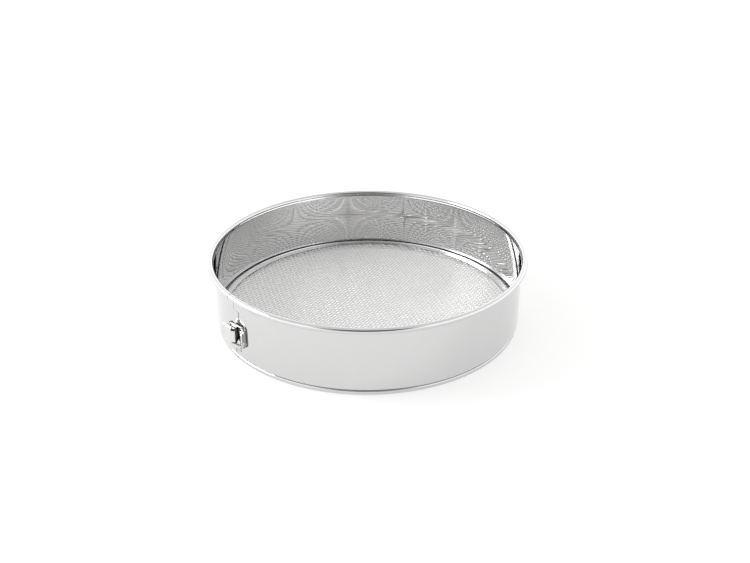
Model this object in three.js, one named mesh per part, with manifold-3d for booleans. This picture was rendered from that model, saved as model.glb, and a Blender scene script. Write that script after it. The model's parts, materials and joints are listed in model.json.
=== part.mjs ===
// A round hand sieve of polished stainless steel: a split band that an over-centre clasp
// draws tight, and a lift-out insert of woven wire clamped between two rings.
// Millimetres, +Z up. The origin is the middle of the ring on the surface it stands on,
// and the clasp is at the front, on -Y.
import * as THREE from "three";
import { mergeVertices } from "three/addons/utils/BufferGeometryUtils.js";
import Module from "manifold-3d";

const wasm = await Module();
wasm.setup();

// ---- driving dimensions ----
const RIM_RADIUS = 150; // outside of the rolled rim
const HEIGHT = 67; // base to the top of the rolled rim
const SHEET = 0.8; // band sheet
const WALL_RADIUS = 144.8; // outer face of the wall
const RIM_ROLL = 2.65; // outer radius of the rolled rim's section
const RIM_WIRE = 1.45; // radius of the wire inside the roll
const GAP = 0.3; // running clearance between separate pieces
const RING_STEPS = 90; // facets round the full circle

const SEAM_X = 1; // where the two band ends meet, at the rim and at the base
const LAP_X = 7.7; // where the left end stops, between the two heights below
const LAP_BOTTOM = 12;
const LAP_TOP = 51;
const TONGUE_START_X = -6; // the right end's tongue reaches in behind the left end to here

const LEDGE_TOP = 6.1; // the inward fold that the insert rests on
// The foot as [radius, height]: up the outside of the hem into the groove, and down the inside.
const FOOT_OUTSIDE = [
  [141.2, 0], [142.9, 0], [143.6, 0.8], [143.8, 2.4], [143.4, 3.9], [141.7, 4.4], [141.7, 5.1],
];
const FOOT_INSIDE = [[141.1, LEDGE_TOP], [140.8, 5.5], [141.2, 3.2]];
const SHOULDER = 0.9; // across the bend between the fold and the wall
const NECK = { start: 2.1, end: 1.1, flare: 0.25 }; // below the roll's centre, where the wall leans out

const INSERT_RADIUS = 142.5;
const MESH_OPENING_RADIUS = 137.2;
const INSERT_BOTTOM = LEDGE_TOP + 0.2;
const RING_SHEET = 0.6;
const MESH_LEVEL = 7.4; // middle of the woven wire
const MESH_THICKNESS = 0.6; // of the plain disc that stands in for the weave
const LIP_TOP = 9.6; // top of the upper ring's outer lip

const CLASP_LEVEL = 29; // middle height of the clasp
const PIN_X = 6; // lever pivot: along the band, and out from the wall's outer face
const PIN_OUT = 4.5;
const PIN_RADIUS = 1;
const BAIL_PIVOT = { x: -6, out: -0.5 }; // from the lever pivot, with the lever shut
const BAIL_END_X = 18;
const BAIL_END_OUT = 0.1;
const BAIL_WIRE = 0.85;
const BAIL_HALF_HEIGHT = 9.8; // middle height to the middle of each leg
const LEVER_HALF_HEIGHT = 8.2;
const LEVER_SHEET = 0.8;
const LEVER_REACH = 15.3; // pivot to the tip of the finger lip
const LEVER_CORNER = 5; // radius of the finger end's corners
const PLATE_SHEET = 0.9; // bracket and catch
const PLATE_HALF_HEIGHT = 7;
const BRACKET_FROM_X = -8;
const BRACKET_TO_X = 7.2;
const CATCH_FROM_X = 9.4;
const CATCH_TO_X = 16.6;
const RIVET_RADIUS = 1.25;
const BRACKET_RIVETS = { x: -3.5, spread: 4 }; // along the band, and above and below the middle
const CATCH_RIVETS = { x: 12.4, spread: 3.5 };

const PLATE_RADIUS = WALL_RADIUS + GAP; // inner face of the bracket and catch plates
const INNER_RADIUS = WALL_RADIUS - SHEET;

// ---- finishes ----
const polishedSteel = () => new THREE.MeshStandardMaterial({
  color: 0xdfe1e1,
  metalness: 1,
  roughness: 0.12,
});
const pressedSteel = () => new THREE.MeshStandardMaterial({
  color: 0xc9cbc9,
  metalness: 1,
  roughness: 0.3,
});
const wovenSteel = () => new THREE.MeshStandardMaterial({
  color: 0xcfd1d0,
  metalness: 1,
  roughness: 0.35,
});

// ---- solids ----

// A closed three.js geometry as a manifold solid.
function toSolid(geometry) {
  const bare = geometry.clone();
  bare.deleteAttribute("normal");
  bare.deleteAttribute("uv");
  const merged = mergeVertices(bare);
  return new wasm.Manifold(new wasm.Mesh({
    numProp: 3,
    vertProperties: new Float32Array(merged.attributes.position.array),
    triVerts: new Uint32Array(merged.index.array),
  }));
}

function toGeometry(solid) {
  const mesh = solid.getMesh();
  const geometry = new THREE.BufferGeometry();
  geometry.setAttribute("position", new THREE.BufferAttribute(mesh.vertProperties, 3));
  geometry.setIndex(new THREE.BufferAttribute(mesh.triVerts, 1));
  geometry.computeVertexNormals();
  return geometry;
}

// A section given as [radius, height] points, counterclockwise, turned about the Z axis.
function turned(section) {
  const loop = [...section, section[0]].map(([radius, height]) => new THREE.Vector2(radius, height));
  return toSolid(new THREE.LatheGeometry(loop, RING_STEPS).rotateX(Math.PI / 2));
}

function block(x0, x1, y0, y1, z0, z1) {
  const box = new THREE.BoxGeometry(x1 - x0, y1 - y0, z1 - z0);
  return toSolid(box.translate((x0 + x1) / 2, (y0 + y1) / 2, (z0 + z1) / 2));
}

function extruded(shape, z0, z1, curveSegments = 6) {
  const prism = new THREE.ExtrudeGeometry(shape, { depth: z1 - z0, bevelEnabled: false, curveSegments });
  return toSolid(prism.translate(0, 0, z0));
}

// Clasp outlines are drawn in plan as [along the band, out from the wall's outer face].
const planPoint = ([along, out]) => new THREE.Vector2(along, -WALL_RADIUS - out);
const planShape = (points) => new THREE.Shape(points.map(planPoint));

// A sheet bent to the wall's curve, at the front of the band.
function curvedPlate(innerRadius, thickness, x0, x1, z0, z1) {
  const outerRadius = innerRadius + thickness;
  const from = -Math.PI / 2 + x0 / WALL_RADIUS;
  const to = -Math.PI / 2 + x1 / WALL_RADIUS;
  const shape = new THREE.Shape();
  shape.absarc(0, 0, outerRadius, from, to, false);
  shape.absarc(0, 0, innerRadius, to, from, true);
  shape.closePath();
  return extruded(shape, z0, z1);
}

function uprightRod(along, out, radius, z0, z1) {
  const rod = new THREE.CylinderGeometry(radius, radius, z1 - z0, 20).rotateX(Math.PI / 2);
  const centre = planPoint([along, out]);
  return toSolid(rod.translate(centre.x, centre.y, (z0 + z1) / 2));
}

// A rod through the wall, square to it at the given place along the band.
function radialRod(along, level, radius, innerEnd, outerEnd) {
  const rod = new THREE.CylinderGeometry(radius, radius, outerEnd - innerEnd, 16);
  rod.translate(0, -(innerEnd + outerEnd) / 2, 0);
  return toSolid(rod.rotateZ(along / WALL_RADIUS).translate(0, 0, level));
}

// ---- band ----

const ROLL_CENTRE = { radius: RIM_RADIUS - RIM_ROLL, height: HEIGHT - RIM_ROLL };

function rollArc(radius, fromDegrees, toDegrees, steps) {
  return Array.from({ length: steps + 1 }, (_, i) => {
    const angle = THREE.MathUtils.degToRad(fromDegrees + (toDegrees - fromDegrees) * i / steps);
    return [ROLL_CENTRE.radius + radius * Math.cos(angle), ROLL_CENTRE.height + radius * Math.sin(angle)];
  });
}

// The strip's section: a hemmed foot, the inward fold above it, the wall and the rolled rim.
function bandSection() {
  const rollStart = 180; // degrees round the roll, from the inner side over the top
  const rollEnd = -125;
  const neckStart = ROLL_CENTRE.height - NECK.start;
  const neckEnd = ROLL_CENTRE.height - NECK.end;
  return [
    ...FOOT_OUTSIDE,
    [WALL_RADIUS - SHOULDER, LEDGE_TOP - SHEET],
    [WALL_RADIUS, LEDGE_TOP + SHOULDER / 2],
    [WALL_RADIUS, neckStart],
    [WALL_RADIUS + NECK.flare, neckEnd],
    ...rollArc(RIM_ROLL - SHEET, rollStart, rollEnd, 7),
    ...rollArc(RIM_ROLL, rollEnd, rollStart, 9),
    [INNER_RADIUS + NECK.flare, neckEnd],
    [INNER_RADIUS, neckStart],
    [INNER_RADIUS, LEDGE_TOP + SHOULDER],
    [INNER_RADIUS - SHOULDER * 0.7, LEDGE_TOP],
    ...FOOT_INSIDE,
  ];
}

const FAR = 200;

// Everything to the right of the left half, cut to the stepped edge of the lap.
function rightOfSeam(shift) {
  const back = block(-shift, FAR, 0, FAR, -1, FAR);
  const edge = block(SEAM_X, FAR, -FAR, 0.001, -1, FAR);
  const lap = block(SEAM_X - 1, LAP_X, -FAR, 0, LAP_BOTTOM, LAP_TOP);
  return back.add(edge.subtract(lap));
}

// Everything to the left of the right half, with room for the left half's lap.
function leftOfSeam(shift) {
  const back = block(-FAR, shift, 0, FAR, -1, FAR);
  const edge = block(-FAR, SEAM_X + GAP, -FAR, 0.001, -1, FAR);
  const lap = block(-FAR, LAP_X + GAP, -FAR, 0, LAP_BOTTOM - GAP, LAP_TOP + GAP);
  return back.add(edge).add(lap);
}

function rivetHoles({ x, spread }) {
  const hole = (level) => radialRod(x, level, RIVET_RADIUS + 0.2, INNER_RADIUS - 2, WALL_RADIUS + 3);
  return hole(CLASP_LEVEL + spread).add(hole(CLASP_LEVEL - spread));
}

function bandLeft() {
  return turned(bandSection()).subtract(rightOfSeam(GAP / 2)).subtract(rivetHoles(BRACKET_RIVETS));
}

// The right end is joggled in by a sheet's thickness, so its tongue slides behind the left end.
function bandRight() {
  const z0 = LAP_BOTTOM + GAP;
  const z1 = LAP_TOP - GAP;
  const tongueRadius = INNER_RADIUS - GAP - SHEET;
  const joggleStart = LAP_X + GAP + 0.1;
  const joggleEnd = joggleStart + 1.4;
  const joggleDepth = WALL_RADIUS - tongueRadius - 0.1;
  const tongue = curvedPlate(tongueRadius, SHEET, TONGUE_START_X, joggleEnd, z0, z1);
  const joggle = curvedPlate(tongueRadius, joggleDepth, joggleStart, joggleEnd, z0, z1);
  return turned(bandSection()).subtract(leftOfSeam(GAP / 2))
    .subtract(rivetHoles(CATCH_RIVETS)).add(tongue).add(joggle);
}

function rimWire() {
  const { radius, height } = ROLL_CENTRE;
  const section = Array.from({ length: 8 }, (_, i) => {
    const angle = (i + 0.5) * Math.PI / 4;
    return [radius + RIM_WIRE * Math.cos(angle), height + RIM_WIRE * Math.sin(angle)];
  });
  return turned(section);
}

// ---- insert ----

function insertTopRing() {
  const flangeTop = MESH_LEVEL + 1.2;
  return turned([
    [MESH_OPENING_RADIUS, flangeTop - RING_SHEET],
    [INSERT_RADIUS - RING_SHEET, flangeTop - RING_SHEET],
    [INSERT_RADIUS - RING_SHEET, INSERT_BOTTOM],
    [INSERT_RADIUS, INSERT_BOTTOM],
    [INSERT_RADIUS, LIP_TOP - 0.2],
    [INSERT_RADIUS - 0.2, LIP_TOP],
    [INSERT_RADIUS - 0.6, LIP_TOP],
    [INSERT_RADIUS - 0.9, flangeTop],
    [MESH_OPENING_RADIUS, flangeTop],
  ]);
}

function insertBottomRing() {
  const outer = INSERT_RADIUS - RING_SHEET - GAP;
  return turned([
    [MESH_OPENING_RADIUS, INSERT_BOTTOM],
    [outer, INSERT_BOTTOM],
    [outer, INSERT_BOTTOM + RING_SHEET],
    [MESH_OPENING_RADIUS, INSERT_BOTTOM + RING_SHEET],
  ]);
}

// The weave's envelope as a plain disc, gripped between the two rings.
function meshScreen() {
  const radius = INSERT_RADIUS - RING_SHEET - 2 * GAP;
  const disc = new THREE.CylinderGeometry(radius, radius, MESH_THICKNESS, RING_STEPS);
  return toSolid(disc.rotateX(Math.PI / 2).translate(0, 0, MESH_LEVEL));
}

// ---- clasp ----

// A base plate riveted to the left end, with two ears folded out to carry the pin.
function claspBracket() {
  const earSheet = 1;
  const earRadius = 1.7;
  const earBase = GAP + PLATE_SHEET / 3; // inside the plate's thickness
  const z0 = CLASP_LEVEL - PLATE_HALF_HEIGHT;
  const z1 = CLASP_LEVEL + PLATE_HALF_HEIGHT;
  const plate = curvedPlate(PLATE_RADIUS, PLATE_SHEET, BRACKET_FROM_X, BRACKET_TO_X, z0, z1);
  // The ear narrows to its foot on the right, where the lever's web comes round when it is open.
  const ear = planShape([[-1, earBase], [PIN_X + 0.3, earBase]]);
  const centre = planPoint([PIN_X, PIN_OUT]);
  ear.absarc(centre.x, centre.y, earRadius, Math.PI * 0.12, -Math.PI * 0.75, true);
  ear.closePath();
  return plate.add(extruded(ear, z0, z0 + earSheet)).add(extruded(ear, z1 - earSheet, z1))
    .subtract(uprightRod(PIN_X, PIN_OUT, PIN_RADIUS + 0.15, 0, HEIGHT))
    .subtract(rivetHoles(BRACKET_RIVETS));
}

function claspPin() {
  const halfLength = LEVER_HALF_HEIGHT + GAP;
  return uprightRod(PIN_X, PIN_OUT, PIN_RADIUS, CLASP_LEVEL - halfLength, CLASP_LEVEL + halfLength);
}

// A block seen from the front as a rectangle whose left-hand corners are rounded.
function roundedEnd(x0, x1, z0, z1, radius) {
  const shape = new THREE.Shape();
  shape.moveTo(x1, z0);
  shape.lineTo(x1, z1);
  shape.lineTo(x0 + radius, z1);
  shape.absarc(x0 + radius, z1 - radius, radius, Math.PI / 2, Math.PI, false);
  shape.absarc(x0 + radius, z0 + radius, radius, Math.PI, Math.PI * 1.5, false);
  shape.closePath();
  const reach = 20; // inwards and outwards from the wall's outer face
  const solid = new THREE.ExtrudeGeometry(shape, { depth: 2 * reach, bevelEnabled: false, curveSegments: 6 });
  return toSolid(solid.rotateX(Math.PI / 2).translate(0, reach - WALL_RADIUS, 0));
}

// A pressed channel: a web outside, a flange above and below, and a lip to put a finger behind.
function lever() {
  const webOut = 3; // outer face of the web, out from the pivot
  const heelRadius = 2.7;
  const heelEnd = 0.2; // the web and flanges stop just past the pivot
  const flangeEnd = -10.4;
  const at = (along, out) => [PIN_X + along, PIN_OUT + out];
  const web = planShape([
    at(heelEnd, webOut),
    at(-12, webOut),
    at(-13.6, webOut + 0.3),
    at(-14.8, webOut + 1.2),
    at(-LEVER_REACH, webOut + 0.6),
    at(-14, webOut - 0.4),
    at(-12.2, webOut - LEVER_SHEET),
    at(heelEnd, webOut - LEVER_SHEET),
  ]);
  const flange = planShape([
    at(heelEnd, webOut),
    at(flangeEnd, webOut),
    at(flangeEnd, 0.9),
    at(flangeEnd + 2.2, -2.3),
    at(0, -heelRadius),
  ]);
  const centre = planPoint([PIN_X, PIN_OUT]);
  flange.absarc(centre.x, centre.y, heelRadius, Math.PI / 2, -0.3, true);
  flange.closePath();
  // Between the ears the web carries on round the pin as a rolled heel.
  const rollHalfHeight = 5.6;
  const rollEnd = -0.1;
  const roll = planShape([at(0, webOut), at(0, webOut - LEVER_SHEET)]);
  roll.absarc(centre.x, centre.y, webOut - LEVER_SHEET, -Math.PI / 2, rollEnd, false);
  roll.absarc(centre.x, centre.y, webOut, rollEnd, -Math.PI / 2, true);
  roll.closePath();
  const z0 = CLASP_LEVEL - LEVER_HALF_HEIGHT;
  const z1 = CLASP_LEVEL + LEVER_HALF_HEIGHT;
  const bailHole = uprightRod(PIN_X + BAIL_PIVOT.x, PIN_OUT + BAIL_PIVOT.out, BAIL_WIRE + 0.2, 0, HEIGHT);
  return extruded(web, z0, z1)
    .intersect(roundedEnd(PIN_X - LEVER_REACH - GAP, PIN_X + 4, z0, z1, LEVER_CORNER))
    .add(extruded(flange, z0, z0 + LEVER_SHEET))
    .add(extruded(flange, z1 - LEVER_SHEET, z1))
    .add(extruded(roll, CLASP_LEVEL - rollHalfHeight, CLASP_LEVEL + rollHalfHeight))
    .subtract(uprightRod(PIN_X, PIN_OUT, PIN_RADIUS + 0.15, 0, HEIGHT))
    .subtract(bailHole);
}

// One length of round wire: a leg above and a leg below the lever, a rounded far end that
// drops behind the catch, and ends turned in through the lever's flanges.
function bail() {
  const pivot = planPoint([PIN_X + BAIL_PIVOT.x, PIN_OUT + BAIL_PIVOT.out]);
  const end = planPoint([BAIL_END_X, BAIL_END_OUT]);
  const length = pivot.distanceTo(end);
  const direction = end.clone().sub(pivot).normalize();
  const place = (along, level) => new THREE.Vector3(
    pivot.x + direction.x * along,
    pivot.y + direction.y * along,
    CLASP_LEVEL + level,
  );
  const legLevel = BAIL_HALF_HEIGHT;
  const stubEnd = LEVER_HALF_HEIGHT - LEVER_SHEET - 0.2;
  const heel = 1.7; // bend radius at the pivots
  const nose = 4.2; // bend radius at the far end
  const path = new THREE.CurvePath();
  const line = (a, b) => path.add(new THREE.LineCurve3(place(...a), place(...b)));
  const bend = (a, corner, b) => path.add(
    new THREE.QuadraticBezierCurve3(place(...a), place(...corner), place(...b)),
  );
  line([0, stubEnd], [0, legLevel - heel]);
  bend([0, legLevel - heel], [0, legLevel], [heel, legLevel]);
  line([heel, legLevel], [length - nose, legLevel]);
  bend([length - nose, legLevel], [length, legLevel], [length, legLevel - nose]);
  line([length, legLevel - nose], [length, nose - legLevel]);
  bend([length, nose - legLevel], [length, -legLevel], [length - nose, -legLevel]);
  line([length - nose, -legLevel], [heel, -legLevel]);
  bend([heel, -legLevel], [0, -legLevel], [0, heel - legLevel]);
  line([0, heel - legLevel], [0, -stubEnd]);
  const section = new THREE.Shape().absarc(0, 0, BAIL_WIRE, 0, 2 * Math.PI);
  return toSolid(new THREE.ExtrudeGeometry(section, { steps: 60, curveSegments: 4, extrudePath: path }));
}

// A plate riveted to the right end, with a tongue bent out of it for the bail to pull on.
function catchPlate() {
  const z0 = CLASP_LEVEL - PLATE_HALF_HEIGHT;
  const z1 = CLASP_LEVEL + PLATE_HALF_HEIGHT;
  const plate = curvedPlate(PLATE_RADIUS, PLATE_SHEET, CATCH_FROM_X, CATCH_TO_X, z0, z1);
  const tongueHalfHeight = 5;
  const face = BAIL_END_X - BAIL_WIRE - 0.7; // the tongue's face, clear of the bail's wire
  const tongue = planShape([
    [face - 2.4, -0.3],
    [face, -0.5],
    [face, 2.2],
    [face - 0.4, 3.1],
    [face - 1.2, 3.1],
    [face - 1.1, 1.2],
    [face - 1.7, 0.6],
    [face - 2.4, 0.3],
  ]);
  return plate.add(extruded(tongue, CLASP_LEVEL - tongueHalfHeight, CLASP_LEVEL + tongueHalfHeight))
    .subtract(rivetHoles(CATCH_RIVETS));
}

// Domed outside, and finished flush with the wall inside.
function rivet({ x }, level) {
  const headBase = PLATE_RADIUS + PLATE_SHEET + 0.1;
  const headRadius = 2.3;
  const headHeight = 0.9;
  const innerEnd = INNER_RADIUS + 0.1;
  const outline = [
    new THREE.Vector2(0, innerEnd),
    new THREE.Vector2(RIVET_RADIUS, innerEnd),
    new THREE.Vector2(RIVET_RADIUS, headBase),
    new THREE.Vector2(headRadius, headBase),
    new THREE.Vector2(headRadius * 0.75, headBase + headHeight * 0.7),
    new THREE.Vector2(0, headBase + headHeight),
  ];
  const body = new THREE.LatheGeometry(outline, 16).rotateX(Math.PI);
  return toSolid(body.rotateZ(x / WALL_RADIUS).translate(0, 0, level));
}

// ---- assembly ----

function piece(name, solid, material) {
  const mesh = new THREE.Mesh(toGeometry(solid), material);
  mesh.name = name;
  return mesh;
}

const wire = rimWire();
const sieve = new THREE.Group();
sieve.add(
  piece("band_left", bandLeft(), polishedSteel()),
  piece("band_right", bandRight(), polishedSteel()),
  piece("rim_wire_left", wire.subtract(rightOfSeam(GAP / 2)), pressedSteel()),
  piece("rim_wire_right", wire.subtract(leftOfSeam(GAP / 2)), pressedSteel()),
  piece("insert_top_ring", insertTopRing(), polishedSteel()),
  piece("insert_bottom_ring", insertBottomRing(), polishedSteel()),
  piece("mesh_screen", meshScreen(), wovenSteel()),
  piece("clasp_bracket", claspBracket(), pressedSteel()),
  piece("bracket_rivet_upper", rivet(BRACKET_RIVETS, CLASP_LEVEL + BRACKET_RIVETS.spread), pressedSteel()),
  piece("bracket_rivet_lower", rivet(BRACKET_RIVETS, CLASP_LEVEL - BRACKET_RIVETS.spread), pressedSteel()),
  piece("clasp_pin", claspPin(), pressedSteel()),
  piece("lever", lever(), pressedSteel()),
  piece("bail", bail(), pressedSteel()),
  piece("catch_plate", catchPlate(), pressedSteel()),
  piece("catch_rivet_upper", rivet(CATCH_RIVETS, CLASP_LEVEL + CATCH_RIVETS.spread), pressedSteel()),
  piece("catch_rivet_lower", rivet(CATCH_RIVETS, CLASP_LEVEL - CATCH_RIVETS.spread), pressedSteel()),
);

export default sieve;
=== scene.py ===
"""A round hand sieve of polished stainless steel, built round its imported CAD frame.

Every size in the functions is in millimetres, in the frame's own axes: +Z up, the origin in the
middle of the ring on the floor, and the clasp at the front, on -Y. Meshes are stored in metres.
"""

import json
import math

import bmesh
import bpy
import numpy as np
from bpy.props import FloatProperty, FloatVectorProperty, PointerProperty
from bpy.types import Operator, Panel, PropertyGroup
from mathutils import Matrix, Vector


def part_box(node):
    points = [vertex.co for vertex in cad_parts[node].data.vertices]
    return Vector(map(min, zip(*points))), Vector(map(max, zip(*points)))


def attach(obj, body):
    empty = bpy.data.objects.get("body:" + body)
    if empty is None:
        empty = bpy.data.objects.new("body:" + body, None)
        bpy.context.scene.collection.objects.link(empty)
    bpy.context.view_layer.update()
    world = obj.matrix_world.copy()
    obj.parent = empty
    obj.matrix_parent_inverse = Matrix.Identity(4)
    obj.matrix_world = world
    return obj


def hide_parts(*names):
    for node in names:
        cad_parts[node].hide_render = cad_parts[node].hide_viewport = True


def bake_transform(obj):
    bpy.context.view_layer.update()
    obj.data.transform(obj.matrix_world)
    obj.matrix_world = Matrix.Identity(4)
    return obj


bl_info = {
    "name": "Soil sieve",
    "version": (1, 0, 0),
    "blender": (4, 5, 0),
    "location": "3D View > Sidebar > Soil sieve",
    "description": "Makes a round hand sieve with a clasped band and a woven wire insert",
    "category": "Add Mesh",
}

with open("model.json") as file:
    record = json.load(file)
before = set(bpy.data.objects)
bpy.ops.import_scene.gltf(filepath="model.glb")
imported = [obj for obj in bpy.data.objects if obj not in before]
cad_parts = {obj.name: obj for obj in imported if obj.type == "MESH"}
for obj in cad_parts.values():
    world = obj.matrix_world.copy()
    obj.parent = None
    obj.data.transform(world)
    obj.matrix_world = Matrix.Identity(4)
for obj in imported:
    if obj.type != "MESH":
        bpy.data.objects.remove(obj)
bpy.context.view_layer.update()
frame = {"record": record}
MM = 0.001
JOINTS = {joint["name"]: joint for joint in frame["record"]["behaviour"]["joints"]}


def node_box(name):
    """Lowest and highest corner of a CAD node in millimetres."""
    low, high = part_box(name)
    return np.array(low) / MM, np.array(high) / MM


BAND_LOW, BAND_HIGH = node_box("band_left")
RING_LOW, RING_HIGH = node_box("insert_top_ring")
LOWER_RING_LOW, LOWER_RING_HIGH = node_box("insert_bottom_ring")
LEVER_LOW, LEVER_HIGH = node_box("lever")
BAIL_LOW, BAIL_HIGH = node_box("bail")
BRACKET_LOW, BRACKET_HIGH = node_box("clasp_bracket")
CATCH_LOW, CATCH_HIGH = node_box("catch_plate")
PIN_LOW, PIN_HIGH = node_box("clasp_pin")
WIRE_LOW, WIRE_HIGH = node_box("rim_wire_left")

LEVER_PIVOT = np.array(JOINTS["lever_swing"]["pos_m"]) / MM
BAIL_PIVOT = np.array(JOINTS["bail_swing"]["pos_m"]) / MM

WALL_OUTSIDE = 144.8  # radius of the wall's outer face
GAP = 0.3  # running clearance between separate pieces
SEAM_GAP = 0.7  # the two band ends stop this far apart
TURN_STEP = math.radians(0.75)  # facet of the band and the rings round their axis
BACK_HALF_ANGLE = math.radians(24)  # half of the band's part at the back, made as one fixed piece
SEAM_X = 1.0  # the band ends meet here at the rim and at the foot
LAP_X = 7.7  # the left end reaches to here between the next two heights
LAP_BOTTOM = 12.0
LAP_TOP = 51.0
TONGUE_X = -6.0  # the right end's tongue reaches in to here
TONGUE_DROP = 1.1  # the tongue lies this far inside the wall
JOGGLE = 1.4  # length of the step from the wall in to the tongue

RING_SHEET = 0.6  # sheet of the insert's upper ring
LIP_RISE = 1.0  # its lip stands this far over its flat
BEAD_DROP = 0.18  # the step round its opening
SCREEN_INSET = 1.6  # the screen's edge lies this far inside the rings' edge

PLATE_SHEET = 0.9  # sheet of the bracket and the catch
PLATE_MIDDLE = WALL_OUTSIDE + 0.75  # radius of the middle of their sheet
BRACKET_FROM_X, BRACKET_TO_X, BRACKET_CORNER = -8.0, 6.1, 1.8
CATCH_FROM_X, CATCH_TO_X, CATCH_CORNER = 9.4, 16.6, 1.5
EAR_SHEET = 1.0
EAR_RADIUS = 1.7  # of the bracket's ears round the pin
LEVER_SHEET = 0.8
LEVER_WEB_OUT = 2.6  # middle of the lever's web, out from the pin
LEVER_CORNER = 5.0  # radius of the finger end's corners
HEEL_RADIUS = 2.7  # outer radius of the flanges round the pin
HEEL_HALF_HEIGHT = 5.6  # half of the rolled heel's length, which fits between the ears
BAIL_NOSE = 4.2  # radius of the bail's two far corners
BAIL_END_OUT = 0.1  # middle of the bail's far end, out from the wall's frontmost line
CATCH_CLEARANCE = 0.7  # the catch's tongue stands this far inside the bail's wire
TONGUE_SHEET, TONGUE_HALF_HEIGHT = 0.8, 5.0
RIVET_SHANK, RIVET_HEAD = 1.25, 2.3  # radii of the rivets' shanks and heads
RIVET_RISE = 0.8  # of a head's dome


# ---- sizes and colours a user would change ----


def to_linear(code):
    """An sRGB hex colour as linear RGB."""
    values = [int(code[i : i + 2], 16) / 255 for i in (0, 2, 4)]
    return tuple(v / 12.92 if v <= 0.04045 else ((v + 0.055) / 1.055) ** 2.4 for v in values)


def length(label, text, default):
    """A length property whose default is given in millimetres."""
    return FloatProperty(
        name=label, description=text, default=default * MM, min=0, unit="LENGTH", precision=5
    )


def colour(label, text, code):
    """A colour property whose default is given as an sRGB hex value."""
    return FloatVectorProperty(
        name=label, description=text, default=to_linear(code), size=3, min=0, max=1, subtype="COLOR"
    )


class SieveSizes(PropertyGroup):
    rim_radius: length("Rim radius", "Outside of the rolled rim", -BAND_LOW[0])
    height: length("Height", "Floor to the top of the rim", BAND_HIGH[2])
    sheet: length("Band sheet", "Thickness of the band's sheet", 0.8)
    roll_radius: length("Roll radius", "Outer radius of the rolled rim's section", 2.65)
    core_wire: length(
        "Core wire", "Thickness of the wire inside the rolled rim", WIRE_HIGH[2] - WIRE_LOW[2]
    )
    ring_radius: length("Insert radius", "Outside of the insert's upper ring", RING_HIGH[0])
    opening_radius: length("Opening radius", "Inside of the two insert rings", 137.2)
    mesh_pitch: length("Mesh pitch", "Middle of one wire to the middle of the next", 3.09)
    mesh_wire: length("Mesh wire", "Thickness of the woven wire", 0.78)
    mesh_turn: FloatProperty(
        name="Mesh turn", description="Direction of the warp, turned from +X",
        default=math.radians(24.3), unit="ROTATION",
    )
    bail_wire: length("Bail wire", "Thickness of the clasp's wire loop", 1.7)


class SieveColours(PropertyGroup):
    polished: colour("Polished steel", "Mirror-polished band and rings", "D1D1D1")
    pressed: colour("Pressed steel", "Lever, catch and rivets", "DADBDA")
    # The bracket and pin colour is painted shade: a dark colour for the shadowed crevice at the top
    # of the clasp.
    crevice_shade: colour("Painted crevice shade", "Bracket and pin", "2B2A28")
    drawn: colour("Drawn wire", "Bail and rim wire", "92948C")
    woven: colour("Woven wire", "The screen", "DAD9D8")
    floor: colour("Floor", "The floor that the sieve stands on", "A8A8A7")


def sizes():
    """The size settings in millimetres, by name; angles stay in radians."""
    group = bpy.context.scene.sieve_sizes
    names = SieveSizes.__annotations__
    return {name: getattr(group, name) / (1 if name == "mesh_turn" else MM) for name in names}


# ---- surfaces ----


def smooth_step(value):
    """0 below 0, 1 above 1, and a smooth S between them."""
    t = np.clip(value, 0, 1)
    return t * t * (3 - 2 * t)


def rounded(corners, radii, steps=5, closed=True):
    """A polyline whose corners are rounded: each corner P becomes the curve
    (1-t)^2 A + 2t(1-t) P + t^2 B, where A and B lie on its two sides at the rounding's distance,
    or just short of half of the side where that is shorter."""
    points = np.asarray(corners, float)
    reach = np.broadcast_to(np.asarray(radii, float), len(points))
    before = np.roll(points, 1, 0) - points
    after = np.roll(points, -1, 0) - points
    lengths = [np.linalg.norm(side, axis=1) for side in (before, after)]
    cut = np.minimum(reach, 0.49 * np.minimum(*lengths))
    if not closed:
        cut[0] = cut[-1] = 0
    start = points + before / lengths[0][:, None] * cut[:, None]
    end = points + after / lengths[1][:, None] * cut[:, None]
    t = np.linspace(0, 1, steps + 1)[None, :, None]
    curve = (1 - t) ** 2 * start[:, None] + 2 * t * (1 - t) * points[:, None] + t**2 * end[:, None]
    flat = curve.reshape(-1, points.shape[1])
    keep = np.ones(len(flat), bool)
    keep[1:] = np.linalg.norm(np.diff(flat, axis=0), axis=1) > 1e-6
    return flat[keep]


def arc(centre, radius, start, end, steps):
    """Points of a circle's arc from one angle to another, in degrees."""
    angle = np.radians(np.linspace(start, end, steps + 1))
    return np.stack([centre[0] + radius * np.cos(angle), centre[1] + radius * np.sin(angle)], 1)


def grid_faces(rows, columns, close_rows=False, close_columns=False):
    """The quads of a grid whose vertices are numbered row by row, as an array of (cells, 4)."""
    r = np.arange(rows if close_rows else rows - 1)
    c = np.arange(columns if close_columns else columns - 1)
    r, c = np.meshgrid(r, c, indexing="ij")
    r2, c2 = (r + 1) % rows, (c + 1) % columns
    corners = [r * columns + c, r * columns + c2, r2 * columns + c2, r2 * columns + c]
    return np.stack(corners, -1).reshape(-1, 4)


def tube_faces(rows, columns):
    """The faces of a tube whose sections are a grid's rows: quads round it, and one flat face on
    each end."""
    last = (rows - 1) * columns
    ends = [list(range(columns)), list(range(last + columns - 1, last - 1, -1))]
    return [*grid_faces(rows, columns, close_columns=True).tolist(), *ends]


def turned_points(profile, angles):
    """Each profile point (R, z) at each angle a becomes (R cos a, R sin a, z)."""
    radius, level = np.asarray(profile).T
    a = np.asarray(angles)[:, None]
    z = np.broadcast_to(level, (len(angles), len(level)))
    return np.stack([radius * np.cos(a), radius * np.sin(a), z], -1).reshape(-1, 3)


def ring(profile):
    """A closed profile turned all the way round the Z axis."""
    turns = round(2 * math.pi / TURN_STEP)
    angles = np.arange(turns) * 2 * math.pi / turns
    return turned_points(profile, angles), grid_faces(turns, len(profile), True, True)


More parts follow.
